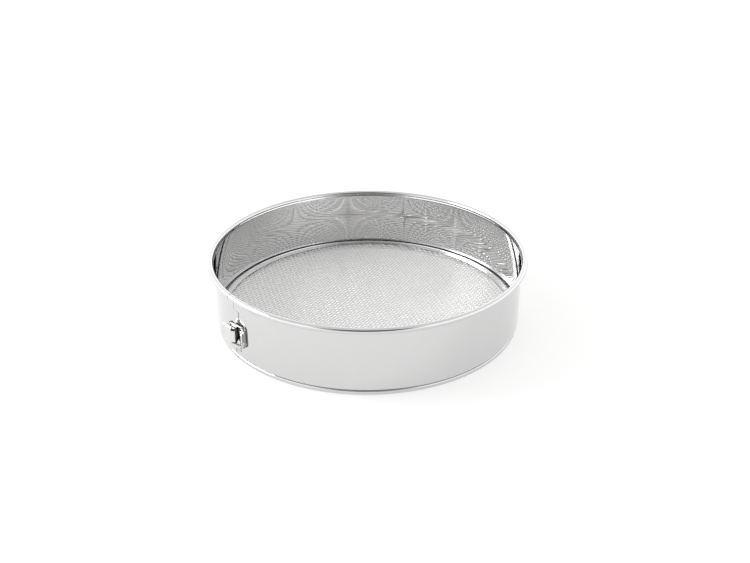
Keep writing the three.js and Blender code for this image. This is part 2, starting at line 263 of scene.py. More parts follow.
def part_ring(profile, angles):
    """A closed profile turned through part of a circle, with a flat face on each end."""
    return turned_points(profile, angles), tube_faces(len(angles), len(profile))


def prism(outline, low, high):
    """A flat outline given its thickness: the same points at two heights, with quads between."""
    count = len(outline)
    flat = np.asarray(outline, float)
    layers = [np.column_stack([flat, np.full(count, level)]) for level in (low, high)]
    n = np.arange(count)
    following = (n + 1) % count
    sides = np.stack([n, following, following + count, n + count], 1)
    ends = [list(range(count - 1, -1, -1)), list(range(count, 2 * count))]
    return np.concatenate(layers), [*sides.tolist(), *ends]


def tube(path, radius, side, sides):
    """A circle carried along a path: at each point P with tangent T the circle is
    P + r cos a S + r sin a (T x S), with the same sideways direction S all along."""
    tangent = np.gradient(path, axis=0)
    tangent /= np.linalg.norm(tangent, axis=1)[:, None]
    side = np.broadcast_to(np.asarray(side, float), path.shape)
    other = np.cross(tangent, side)
    a = (np.arange(sides) * 2 * math.pi / sides)[None, :, None]
    points = path[:, None] + radius * (np.cos(a) * side[:, None] + np.sin(a) * other[:, None])
    return points.reshape(-1, 3), tube_faces(len(path), sides)


def round_bar(profile, origin, axis, turns=24):
    """A profile of (radius, distance along the axis) turned about an axis through a point. The
    profile starts and ends on the axis, where one vertex closes each pole."""
    axis = np.asarray(axis, float) / np.linalg.norm(axis)
    first = np.cross(axis, [0, 0, 1]) if abs(axis[2]) < 0.9 else np.array([1.0, 0, 0])
    first /= np.linalg.norm(first)
    second = np.cross(axis, first)
    body = np.asarray(profile[1:-1], float)
    a = (np.arange(turns) * 2 * math.pi / turns)[None, :, None]
    circle = np.cos(a) * first + np.sin(a) * second
    points = body[:, :1, None] * circle + body[:, 1, None, None] * axis
    poles = np.outer([profile[0][1], profile[-1][1]], axis)
    points = np.concatenate([points.reshape(-1, 3), poles]) + np.asarray(origin, float)
    n = np.arange(turns)
    following = (n + 1) % turns
    last = (len(body) - 1) * turns
    low, high = len(points) - 2, len(points) - 1
    fans = [[low, int(j), int(i)] for i, j in zip(n, following)]
    fans += [[high, int(i) + last, int(j) + last] for i, j in zip(n, following)]
    return points, [*grid_faces(len(body), turns, close_columns=True).tolist(), *fans]


def joined(*shapes):
    """Several shapes as one list of points and faces."""
    points, faces, offset = [], [], 0
    for shape_points, shape_faces in shapes:
        points.append(shape_points)
        faces.extend([[int(v) + offset for v in face] for face in shape_faces])
        offset += len(shape_points)
    return np.concatenate(points), faces


# ---- pieces ----


def new_piece(name, shape, sharp=32):
    """A mesh object from points in millimetres and faces, smooth but for edges over an angle."""
    points, faces = shape
    mesh = bpy.data.meshes.new(name)
    mesh.from_pydata((np.asarray(points) * MM).tolist(), [], [list(map(int, f)) for f in faces])
    mesh.validate()
    fill = bmesh.new()
    fill.from_mesh(mesh)
    bmesh.ops.recalc_face_normals(fill, faces=fill.faces)
    fill.to_mesh(mesh)
    fill.free()
    mesh.shade_smooth()
    mesh.set_sharp_from_angle(angle=math.radians(sharp))
    piece = bpy.data.objects.new(name, mesh)
    bpy.context.scene.collection.objects.link(piece)
    return piece


def new_sheet(name, points, faces, thickness, sharp=32):
    """An open surface given a sheet's thickness, half on each side."""
    used, numbers = np.unique(faces, return_inverse=True)
    piece = new_piece(name, (points[used], numbers.reshape(np.shape(faces))), 180)
    solid = piece.modifiers.new("Sheet", "SOLIDIFY")
    solid.thickness = thickness * MM
    solid.offset = 0
    solid.use_even_offset = True
    settle(piece, sharp)
    return piece


def soften(piece, width, sharp=32):
    """Rounds the edges over 40 degrees."""
    bevel = piece.modifiers.new("Edges", "BEVEL")
    bevel.width = width * MM
    bevel.segments = 2
    bevel.limit_method = "ANGLE"
    bevel.angle_limit = math.radians(40)
    bevel.use_clamp_overlap = True
    settle(piece, sharp)


def merge(piece, extra):
    """Adds another object's mesh to a piece, then removes that object."""
    both = bmesh.new()
    both.from_mesh(piece.data)
    both.from_mesh(extra.data)
    both.to_mesh(piece.data)
    both.free()
    bpy.data.objects.remove(extra)


def settle(piece, sharp):
    """Applies the modifiers to the mesh and marks the sharp edges again."""
    graph = bpy.context.evaluated_depsgraph_get()
    mesh = bpy.data.meshes.new_from_object(piece.evaluated_get(graph))
    piece.modifiers.clear()
    old, piece.data = piece.data, mesh
    bpy.data.meshes.remove(old)
    mesh.name = piece.name
    mesh.shade_smooth()
    mesh.set_sharp_from_angle(angle=math.radians(sharp))


def square_normals(piece, angles):
    """Where two pieces of one round surface meet, the corner normals lose their part along the
    round, so that the polish runs on without a kink."""
    mesh = piece.data
    normals = np.empty(len(mesh.loops) * 3, np.float32)
    mesh.corner_normals.foreach_get("vector", normals)
    normals = normals.reshape(-1, 3)
    corner = np.empty(len(mesh.loops), np.int32)
    mesh.loops.foreach_get("vertex_index", corner)
    place = np.empty(len(mesh.vertices) * 3, np.float32)
    mesh.vertices.foreach_get("co", place)
    x, y = place.reshape(-1, 3)[corner, :2].T
    around = np.stack([-y, x, np.zeros_like(x)], 1) / np.hypot(x, y)[:, None]
    along = (normals * around).sum(1)
    turn = np.arctan2(y, x)
    on_joint = np.any([np.abs(np.angle(np.exp(1j * (turn - a)))) < 1e-4 for a in angles], axis=0)
    chosen = on_joint & (np.abs(along) < 0.5)
    normals[chosen] -= along[chosen, None] * around[chosen]
    normals /= np.linalg.norm(normals, axis=1)[:, None]
    mesh.normals_split_custom_set(normals.tolist())


def finish_piece(piece, body, slot, material, *nodes):
    """Gives a piece its material and its body, and hides the CAD nodes that it stands for; the slot
    argument is not used.
    """
    piece.data.materials.clear()
    piece.data.materials.append(material)
    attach(piece, body)
    if nodes:
        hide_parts(*nodes)


# ---- materials ----

MARK_SIZE = 28.0  # typical width of a patch of handling marks


def add_node(tree, kind, settings=None, values=None, links=None):
    """Adds a node, sets its properties and socket values, and links sockets into it."""
    node = tree.nodes.new(kind)
    for name, value in (settings or {}).items():
        setattr(node, name, value)
    for name, value in (values or {}).items():
        node.inputs[name].default_value = value
    for name, socket in (links or {}).items():
        tree.links.new(socket, node.inputs[name])
    return node


def shades(base, spread):
    """A linear colour made a little darker and a little lighter, as RGBA."""
    return [(*(min(1, c * factor) for c in base), 1.0) for factor in (1 - spread, 1 + spread)]


def mottled(tree, base, spread, fac):
    """A colour that wanders between its darker and its lighter shade as the pattern does. A Mix
    node's sockets share their names, so they go by number: 0 is the factor, 6 and 7 the colours."""
    low, high = shades(base, spread)
    mix = add_node(tree, "ShaderNodeMix", {"data_type": "RGBA"}, {6: low, 7: high}, {0: fac})
    return mix.outputs[2]


def metal(name, base, rough, streak, lines, dents, marks):
    """A steel surface: lines left by rolling, drawing or buffing that run along `streak`, broad
    shallow dents, and faint handling marks that dull the polish in patches.
    base is linear RGB; rough is (lowest, highest) roughness; streak is the lines' size in mm along
    x, y and z; lines is their height in mm; dents is (size, height) in mm; marks is the colour's
    spread."""
    found = bpy.data.materials.get(name)
    if found:
        return found
    material = bpy.data.materials.new(name)
    material.use_nodes = True
    tree = material.node_tree
    tree.nodes.clear()
    place = add_node(tree, "ShaderNodeTexCoord").outputs["Object"]
    stretched = add_node(
        tree, "ShaderNodeMapping", {"vector_type": "POINT"},
        {"Scale": tuple(1 / (size * MM) for size in streak)}, {"Vector": place},
    ).outputs["Vector"]
    line = add_node(
        tree, "ShaderNodeTexNoise", {},
        {"Scale": 1.0, "Detail": 3.0, "Roughness": 0.6}, {"Vector": stretched},
    ).outputs["Fac"]
    patch = add_node(
        tree, "ShaderNodeTexNoise", {},
        {"Scale": 1 / (MARK_SIZE * MM), "Detail": 4.0, "Roughness": 0.55}, {"Vector": place},
    ).outputs["Fac"]
    broad = add_node(
        tree, "ShaderNodeTexNoise", {},
        {"Scale": 1 / (dents[0] * MM), "Detail": 1.0}, {"Vector": place},
    ).outputs["Fac"]
    half_patch = add_node(
        tree, "ShaderNodeMath", {"operation": "MULTIPLY"}, {1: 0.5}, {0: patch}
    ).outputs[0]
    both = add_node(
        tree, "ShaderNodeMath", {"operation": "MULTIPLY_ADD"}, {1: 0.5}, {0: line, 2: half_patch}
    ).outputs[0]
    dull = add_node(
        tree, "ShaderNodeMapRange", {},
        {"From Min": 0.35, "From Max": 0.65, "To Min": rough[0], "To Max": rough[1]},
        {"Value": both},
    ).outputs["Result"]
    wave = add_node(
        tree, "ShaderNodeBump", {}, {"Strength": 1.0, "Distance": dents[1] * MM}, {"Height": broad}
    ).outputs["Normal"]
    grain = add_node(
        tree, "ShaderNodeBump", {},
        {"Strength": 1.0, "Distance": lines * MM}, {"Height": line, "Normal": wave},
    ).outputs["Normal"]
    shader = add_node(
        tree, "ShaderNodeBsdfPrincipled", {}, {"Metallic": 1.0},
        {"Base Color": mottled(tree, base, marks, patch), "Roughness": dull, "Normal": grain},
    )
    add_node(tree, "ShaderNodeOutputMaterial", {}, {}, {"Surface": shader.outputs["BSDF"]})
    return material


def polished_steel():
    """Cold-rolled stainless sheet, buffed to a mirror: sharp reflections, with faint lines that
    run round the band and a very slight waviness from rolling."""
    return metal(
        "buffed_stainless_sheet", bpy.context.scene.sieve_colours.polished,
        rough=(0.012, 0.03), streak=(60, 60, 0.7), lines=0.00006, dents=(60, 0.006), marks=0.02,
    )


def ring_steel():
    """Pressed stainless sheet left bright from the press: a little softer than the band."""
    return metal(
        "bright_pressed_stainless", bpy.context.scene.sieve_colours.polished,
        rough=(0.2, 0.32), streak=(25, 25, 0.5), lines=0.001, dents=(30, 0.02), marks=0.04,
    )


def clasp_steel():
    """Stamped stainless, tumbled until it shines, with the faintest grain left."""
    return metal(
        "tumbled_stamped_stainless", bpy.context.scene.sieve_colours.pressed,
        rough=(0.03, 0.09), streak=(4, 4, 0.6), lines=0.0004, dents=(9, 0.008), marks=0.03,
    )


def crevice_shade_steel():
    """Stamped steel coloured dark, with a soft sheen: the dark colour is painted shade, standing in
    for the shadowed crevice round the clasp's ears and pin.
    """
    return metal(
        "painted_crevice_shade_steel", bpy.context.scene.sieve_colours.crevice_shade,
        rough=(0.25, 0.4), streak=(3, 3, 3), lines=0.002, dents=(9, 0.01), marks=0.15,
    )


def drawn_steel():
    """Bright drawn stainless wire: fine die lines along the wire."""
    return metal(
        "bright_drawn_stainless_wire", bpy.context.scene.sieve_colours.drawn,
        rough=(0.12, 0.25), streak=(0.5, 0.5, 6), lines=0.001, dents=(12, 0.01), marks=0.05,
    )


def woven_steel():
    """Drawn and crimped stainless wire, woven: a satin gleam on each wire's crown."""
    return metal(
        "woven_stainless_wire", bpy.context.scene.sieve_colours.woven,
        rough=(0.3, 0.46), streak=(2.2, 2.2, 0.8), lines=0.001, dents=(20, 0.005), marks=0.05,
    )


# ---- band ----


def band_profile(size):
    """The strip's centre line from the curl under the foot to the end of the rolled rim, as
    (R, z): a hem, a fold inwards that leaves a groove outside and a ledge inside, the straight
    wall, a slight lean outwards, and an arc of 305 degrees for the roll."""
    half = size["sheet"] / 2
    wall = WALL_OUTSIDE - half
    centre = (size["rim_radius"] - size["roll_radius"], size["height"] - size["roll_radius"])
    hem, fold = 143.4, 141.25  # radius of the foot's outer face and of the bottom of the groove
    hem_top, ledge = 3.72, 5.7  # heights of the groove's two sides
    foot = rounded(
        [
            (141.7, 2.9), (141.62, half), (hem, half), (hem, hem_top),
            (fold, hem_top), (fold, ledge), (wall, ledge), (wall, 9),
        ],
        [0, 0.7, 0.9, 0.75, 0.98, 0.98, 1.1, 0], 6, closed=False,
    )
    levels = [
        LAP_BOTTOM - GAP, LAP_BOTTOM, LAP_BOTTOM + GAP, 22, 32, 42,
        LAP_TOP - GAP, LAP_TOP, LAP_TOP + GAP,
    ]
    straight = np.array([(wall, level) for level in levels])
    roll = arc(centre, size["roll_radius"] - half, 172, -125, 30)
    neck = rounded(
        [(wall, 60), (wall, 62.3), tuple(roll[0] + [-0.06, -0.9]), tuple(roll[0])],
        [0, 0.8, 0.6, 0], 4, closed=False,
    )
    return np.concatenate([foot, straight, neck, roll[1:]])


def strip_shape(size, angles, keep, drop=None):
    """The centre line turned through the angles, as an open grid with only the kept cells.
    keep(angle, z) chooses cells by their middles, with z = -1 for those that aren't on the
    straight wall, and drop(angle, z) moves points inwards."""
    profile = band_profile(size)
    points = turned_points(profile, angles)
    if drop is not None:
        a = np.repeat(angles, len(profile))
        inward = drop(a, points[:, 2])
        points[:, 0] -= inward * np.cos(a)
        points[:, 1] -= inward * np.sin(a)
    cells = grid_faces(len(angles), len(profile))
    middle_angle = np.repeat((angles[1:] + angles[:-1]) / 2, len(profile) - 1)
    level = (profile[1:, 1] + profile[:-1, 1]) / 2
    radius = (profile[1:, 0] + profile[:-1, 0]) / 2
    upright = np.abs(radius - WALL_OUTSIDE + size["sheet"] / 2) < 0.01
    middle_level = np.tile(np.where(upright, level, -1), len(angles) - 1)
    return points, cells[keep(middle_angle, middle_level)]


def angle_at(along):
    """The angle about the ring's axis of a place along the wall, from the front, -90 degrees."""
    return -math.pi / 2 + np.asarray(along, float) / WALL_OUTSIDE


def even_angles(start, end):
    """Evenly spaced angles from start to end, about one facet apart."""
    count = max(1, round(abs(end - start) / TURN_STEP))
    return np.linspace(start, end, count + 1)


def left_strip(size):
    """The left end stops at the seam, but between the lap's two heights it reaches further."""
    seam = angle_at(SEAM_X - SEAM_GAP / 2)
    back = math.pi / 2 + BACK_HALF_ANGLE - 2 * math.pi
    lap = angle_at(LAP_X)
    angles = np.concatenate([even_angles(back, seam), np.linspace(seam, lap, 7)[1:]])

    def keep(a, z):
        return (a < seam) | ((z > LAP_BOTTOM) & (z < LAP_TOP))

    return strip_shape(size, angles, keep)


def right_strip(size):
    """The right end stops at the seam, and between the lap's heights it is joggled inwards by a
    little over the sheet's thickness and carries on as a tongue behind the left end."""
    seam = angle_at(SEAM_X + SEAM_GAP / 2)
    shoulder = angle_at(LAP_X + 2 * GAP + JOGGLE)
    notch = angle_at(LAP_X + GAP)
    tip = angle_at(TONGUE_X)
    back = math.pi / 2 - BACK_HALF_ANGLE
    angles = np.concatenate([
        np.linspace(tip, seam, 8)[:-1], np.linspace(seam, notch, 7)[:-1],
        np.linspace(notch, shoulder, 7)[:-1], even_angles(shoulder, back),
    ])

    def keep(a, z):
        outside = (z < LAP_BOTTOM - GAP) | (z > LAP_TOP + GAP)
        tongue = (z > LAP_BOTTOM + GAP) & (z < LAP_TOP - GAP)
        return (a > shoulder) | tongue | (outside & (a > seam))

    def drop(a, z):
        tongue = (z > LAP_BOTTOM + GAP - 0.01) & (z < LAP_TOP - GAP + 0.01)
        return TONGUE_DROP * tongue * smooth_step((shoulder - a) / (shoulder - notch))

    return strip_shape(size, angles, keep, drop)


def back_strip(size):
    """The part of the band at the back, where the real band bends as the clasp opens it; here it is
    one fixed piece.
    """
    angles = even_angles(math.pi / 2 - BACK_HALF_ANGLE, math.pi / 2 + BACK_HALF_ANGLE)
    return strip_shape(size, angles, lambda a, z: np.ones(len(a), bool))


class SIEVE_OT_band(Operator):
    """Makes the polished band: two halves with a lapped seam, and a fixed part at the back between
    them
    """

    bl_idname = "sieve.band"
    bl_label = "Band"

    def execute(self, context):
        size = sizes()
        material = polished_steel()
        joints = [math.pi / 2 - BACK_HALF_ANGLE, math.pi / 2 + BACK_HALF_ANGLE]
        for name, shape, body, node in (
            ("band_strip_left", left_strip, "band", "band_left"),
            ("band_strip_right", right_strip, "band_end", "band_right"),
        ):
            piece = new_sheet(name, *shape(size), size["sheet"])
            square_normals(piece, joints)
            finish_piece(piece, body, "polished_band", material, node)
        piece = new_sheet("band_strip_back", *back_strip(size), size["sheet"])
        square_normals(piece, joints)
        piece.data.materials.append(material)
        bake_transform(piece)
        return {"FINISHED"}


class SIEVE_OT_rim_wires(Operator):
    """Makes the wire inside the rolled rim, as two halves that end at the seam"""

    bl_idname = "sieve.rim_wires"
    bl_label = "Rim wires"

    def execute(self, context):
        size = sizes()
        centre = (size["rim_radius"] - size["roll_radius"], size["height"] - size["roll_radius"])
        circle = arc(centre, size["core_wire"] / 2, 0, 345, 23)
        seam, back = angle_at(SEAM_X), math.pi / 2
        half_gap = GAP / 2 / WALL_OUTSIDE
        around_left = even_angles(back + half_gap - 2 * math.pi, seam - half_gap)
        around_right = even_angles(seam + half_gap, back - half_gap)
        for name, angles, body, node in (
            ("rim_core_left", around_left, "band", "rim_wire_left"),
            ("rim_core_right", around_right, "band_end", "rim_wire_right"),
        ):
            piece = new_piece(name, part_ring(circle, angles))
            finish_piece(piece, body, "wire_steel", drawn_steel(), node)
        return {"FINISHED"}


# ---- insert ----


class SIEVE_OT_insert_rings(Operator):
    """Makes the two pressed rings that clamp the edge of the screen"""

    bl_idname = "sieve.insert_rings"
    bl_label = "Insert rings"

    def execute(self, context):
        size = sizes()
        outside, opening = size["ring_radius"], size["opening_radius"]
        base, lip = RING_LOW[2], RING_HIGH[2]
        inside = outside - RING_SHEET
        top = lip - LIP_RISE
        under = top - RING_SHEET
        step = top - BEAD_DROP
        upper = rounded(
            [
                (opening, under), (inside, under), (inside, base), (outside, base), (outside, lip),
                (inside, lip), (outside - 0.95, top), (opening + 1.9, top), (opening + 1.6, step),
                (opening, step),
            ],
            [0.2, 0.1, 0.15, 0.15, 0.3, 0.3, 0.5, 0.3, 0.3, 0.2], 5,
        )
        low, high = LOWER_RING_LOW[2], LOWER_RING_HIGH[2]
        edge = LOWER_RING_HIGH[0]
        lower = rounded([(opening, low), (edge, low), (edge, high), (opening, high)], 0.22, 5)
        for name, profile, node in (
            ("insert_ring_upper", upper, "insert_top_ring"),
            ("insert_ring_lower", lower, "insert_bottom_ring"),
        ):
            piece = new_piece(name, ring(profile))
            finish_piece(piece, "insert", "insert_steel", ring_steel(), node)
        return {"FINISHED"}


def woven_wires(size, warp, numbers, level):
    """Plain weave: wire number k lies at k pitches from the middle, and its height is
    A cos(pi s / p + pi k) at distance s along it, with the sign turned for the weft. The height
    shrinks where the rings clamp it. Each wire is a six-sided tube, four lengths to a pitch."""
    pitch, radius = size["mesh_pitch"], size["mesh_wire"] / 2
    turn = size["mesh_turn"] + (0 if warp else math.pi / 2)
    along = np.array([math.cos(turn), math.sin(turn), 0])
    across = np.array([-math.sin(turn), math.cos(turn), 0]) * (1 if warp else -1)
    sign = 1 if warp else -1
    edge = size["ring_radius"] - SCREEN_INSET
    grip_from, grip_to = size["opening_radius"] - 1.6, size["opening_radius"] + 0.2
    sides, steps = 6, 4  # round a wire, and along it to a pitch
    a = (np.arange(sides) * 2 * math.pi / sides)[None, :, None]
    wires = []
    for k in numbers:
        reach = math.sqrt(edge**2 - (k * pitch) ** 2)
        most = math.floor(reach / pitch * steps)
        inner = np.arange(-most, most + 1) * pitch / steps
        inner = inner[np.abs(inner) < reach - 0.25]
        s = np.concatenate([[-reach], inner, [reach]])
        distance = np.hypot(s, k * pitch)
        gripped = smooth_step((distance - grip_from) / (grip_to - grip_from))
        rise = sign * radius * (1 - 0.6 * gripped)
        phase = math.pi * (s / pitch + k)
        slope = -rise * np.sin(phase) * math.pi / pitch
        height = np.outer(level + rise * np.cos(phase), [0, 0, 1])
        path = s[:, None] * along + k * pitch * across + height
        normal = np.array([0, 0, 1]) - slope[:, None] * along
        normal /= np.linalg.norm(normal, axis=1)[:, None]
        rings = path[:, None] + radius * (np.cos(a) * across + np.sin(a) * normal[:, None])
        wires.append((rings.reshape(-1, 3), tube_faces(len(s), sides)))
    return joined(*wires)


class SIEVE_OT_screen(Operator):
    """Makes the woven wire screen: warp and weft in four groups of wires"""

    bl_idname = "sieve.screen"
    bl_label = "Woven screen"

    def execute(self, context):
        size = sizes()
        level = (LOWER_RING_HIGH[2] + RING_HIGH[2] - LIP_RISE - RING_SHEET) / 2
        most = int((size["ring_radius"] - SCREEN_INSET - 0.6) / size["mesh_pitch"])
        for name, warp, numbers in (
            ("screen_warp_near", True, range(-most, 0)),
            ("screen_warp_far", True, range(0, most + 1)),
            ("screen_weft_near", False, range(-most, 0)),
            ("screen_weft_far", False, range(0, most + 1)),
        ):
            piece = new_piece(name, woven_wires(size, warp, numbers, level), 70)
            nodes = ["mesh_screen"] if name == "screen_warp_near" else []
            finish_piece(piece, "insert", "woven_wire", woven_steel(), *nodes)
        return {"FINISHED"}


# ---- clasp ----


def on_wall(along, out, level):
    """Clasp places are given along the front of the band, out from the wall's outer face and up:
    (x, y, z) = (along, -(wall radius) - out, level)."""
    return np.stack(np.broadcast_arrays(along, -WALL_OUTSIDE - np.asarray(out, float), level), -1)


def curved_plate(low, high, x0, x1, corner):
    """The middle of a plate bent to the wall, with rounded corners: half its height is cut back by
    c - sqrt(c^2 - d^2), where d is how far a place lies inside the corner radius c of an end."""
    middle, half = (low + high) / 2, (high - low) / 2
    ends = corner * (1 - np.cos(np.linspace(0, math.pi / 2, 7)))
    between = np.linspace(x0 + corner, x1 - corner, 9)[1:-1]
    along = np.concatenate([x0 + ends, between, (x1 - ends)[::-1]])
    into = np.clip(corner - np.minimum(along - x0, x1 - along), 0, corner)
    reach = half - corner + np.sqrt(np.maximum(corner**2 - into**2, 0))
    rows = np.linspace(-1, 1, 9)
    a = angle_at(along)[:, None]
    level = middle + reach[:, None] * rows
    x, y = PLATE_MIDDLE * np.cos(a), PLATE_MIDDLE * np.sin(a)
    points = np.stack(np.broadcast_arrays(x, y, level), -1)
    return points.reshape(-1, 3), grid_faces(len(along), len(rows))


def lever_shape():
    """The lever's middle surface. Across it runs a flange, a bend, the web, a bend and a flange;
    along it the web lies level outside the pin and flares out to a curled lip at the finger end,
    where the two corners are rounded, and the flanges taper to a narrow rim. Past the pin only
    the flanges remain, rounded about it."""
    tip, corner = LEVER_LOW[0] - LEVER_PIVOT[0], LEVER_CORNER
    half_height = (LEVER_HIGH[2] - LEVER_LOW[2]) / 2
    middle = (LEVER_HIGH[2] + LEVER_LOW[2]) / 2
    web_end, heel_end = 0.2, HEEL_RADIUS - 0.05  # how far past the pin the web and the flanges go
    a = np.concatenate([
        tip + corner * (1 - np.cos(np.linspace(0, math.pi / 2, 12))),
        np.linspace(tip + corner, web_end, 14)[1:],
        web_end + (heel_end - web_end) * np.sin(np.linspace(0, math.pi / 2, 9))[1:],
    ])
    lip = [tip, tip + 0.6, tip + 1.8, tip + 3.4, 0]
    web = np.interp(a, lip, [3.25, 3.5, 2.95, LEVER_WEB_OUT, LEVER_WEB_OUT])
    into = np.clip(tip + corner - a, 0, corner)
    half = half_height - corner + np.sqrt(np.maximum(corner**2 - into**2, 0)) - LEVER_SHEET / 2
    depth = np.interp(a, [tip, tip + 4.6, tip + 7.2, 0], [0.5, 0.75, 4.8, 5.2])
    round_heel = np.sqrt(np.maximum(HEEL_RADIUS**2 - np.clip(a, 0, HEEL_RADIUS) ** 2, 0))
    depth = np.where(a > 0, web + round_heel, depth)
    bend = np.minimum(1.25, depth * 0.9)
    start = np.where(a > web_end, np.maximum(web - round_heel * 0.98, bend), bend)
    flange_down = start[:, None] + (depth - start)[:, None] * np.linspace(1, 0, 6)
    flange_side = np.zeros_like(flange_down)
    t = np.linspace(0, math.pi / 2, 6)[1:]
    bend_down = bend[:, None] * (1 - np.sin(t))
    bend_side = bend[:, None] * (1 - np.cos(t))
    across = np.linspace(0, 1, 8)[1:]
    web_side = bend[:, None] + (half - bend)[:, None] * across
    side = np.concatenate([flange_side, bend_side, web_side], 1)
    down = np.concatenate([flange_down, bend_down, np.zeros_like(web_side)], 1)
    level = side - half[:, None]
    level = np.concatenate([level, -level[:, -2::-1]], 1)
    down = np.concatenate([down, down[:, -2::-1]], 1)
    out = (web - LEVER_PIVOT[1] - WALL_OUTSIDE)[:, None] - down
    points = on_wall((LEVER_PIVOT[0] + a)[:, None], out, middle + level)
    rows = level.shape[1]
    cells = grid_faces(len(a), rows)
    column = np.tile(np.arange(rows - 1), len(a) - 1)
    station = np.repeat(np.arange(len(a) - 1), rows - 1)
    in_flange = (column < 5) | (column >= rows - 6)
    keep = (a[station + 1] < web_end + 0.001) | in_flange
    return points.reshape(-1, 3), cells[keep]


def heel_shape():
    """Between the bracket's ears the web carries on round the pin, as an arc about it from
    straight outwards to nearly straight along the band."""
    roll = arc(LEVER_PIVOT[:2], LEVER_WEB_OUT, -90, -6, 11)
    path = np.concatenate([[roll[0] - [1.2, 0]], roll])
    rows = np.linspace(-HEEL_HALF_HEIGHT, HEEL_HALF_HEIGHT, 7)
    level = (LEVER_HIGH[2] + LEVER_LOW[2]) / 2 + rows
    points = np.stack(np.broadcast_arrays(path[:, :1], path[:, 1:], level), -1)
    return points.reshape(-1, 3), grid_faces(len(path), len(rows))


class SIEVE_OT_lever(Operator):
    """Makes the clasp's lever: a pressed channel with a curled lip at its finger end"""

    bl_idname = "sieve.lever"
    bl_label = "Lever"

    def execute(self, context):
        piece = new_sheet("lever_pressing", *lever_shape(), LEVER_SHEET)
        merge(piece, new_sheet("lever_heel", *heel_shape(), LEVER_SHEET - 0.02))
        finish_piece(piece, "lever", "clasp_steel", clasp_steel(), "lever")
        return {"FINISHED"}


def bail_path(size):
    """One length of wire as a loop: a stub turned in through each of the lever's flanges, a leg
    above and below, and a far end with rounded corners."""
    radius = size["bail_wire"] / 2
    pivot = BAIL_PIVOT[:2]
    end = np.array([BAIL_HIGH[0] - radius, -WALL_OUTSIDE - BAIL_END_OUT])
    reach = np.linalg.norm(end - pivot)
    direction = (end - pivot) / reach
    leg = (BAIL_HIGH[2] - BAIL_LOW[2]) / 2 - radius
    stub = (LEVER_HIGH[2] - LEVER_LOW[2]) / 2 - 1.0
    corners = [(0, stub), (0, leg), (reach, leg), (reach, -leg), (0, -leg), (0, -stub)]
    bends = rounded(corners, [0, 1.7, BAIL_NOSE, BAIL_NOSE, 1.7, 0], 10, closed=False)
    place, stops = np.linspace(0, len(bends) - 1, 3 * len(bends) - 2), np.arange(len(bends))
    flat = np.column_stack([np.interp(place, stops, part) for part in bends.T])
    middle = (BAIL_HIGH[2] + BAIL_LOW[2]) / 2
    path = np.column_stack([pivot + flat[:, :1] * direction, middle + flat[:, 1]])
    return path, np.array([-direction[1], direction[0], 0])


class SIEVE_OT_bail(Operator):
    """Makes the wire loop that the lever draws over the catch"""

    bl_idname = "sieve.bail"
    bl_label = "Bail"

    def execute(self, context):
        size = sizes()
        path, side = bail_path(size)
        piece = new_piece("bail_loop", tube(path, size["bail_wire"] / 2, side, 20), 50)
        soften(piece, 0.25, 50)
        finish_piece(piece, "bail", "wire_steel", drawn_steel(), "bail")
        return {"FINISHED"}


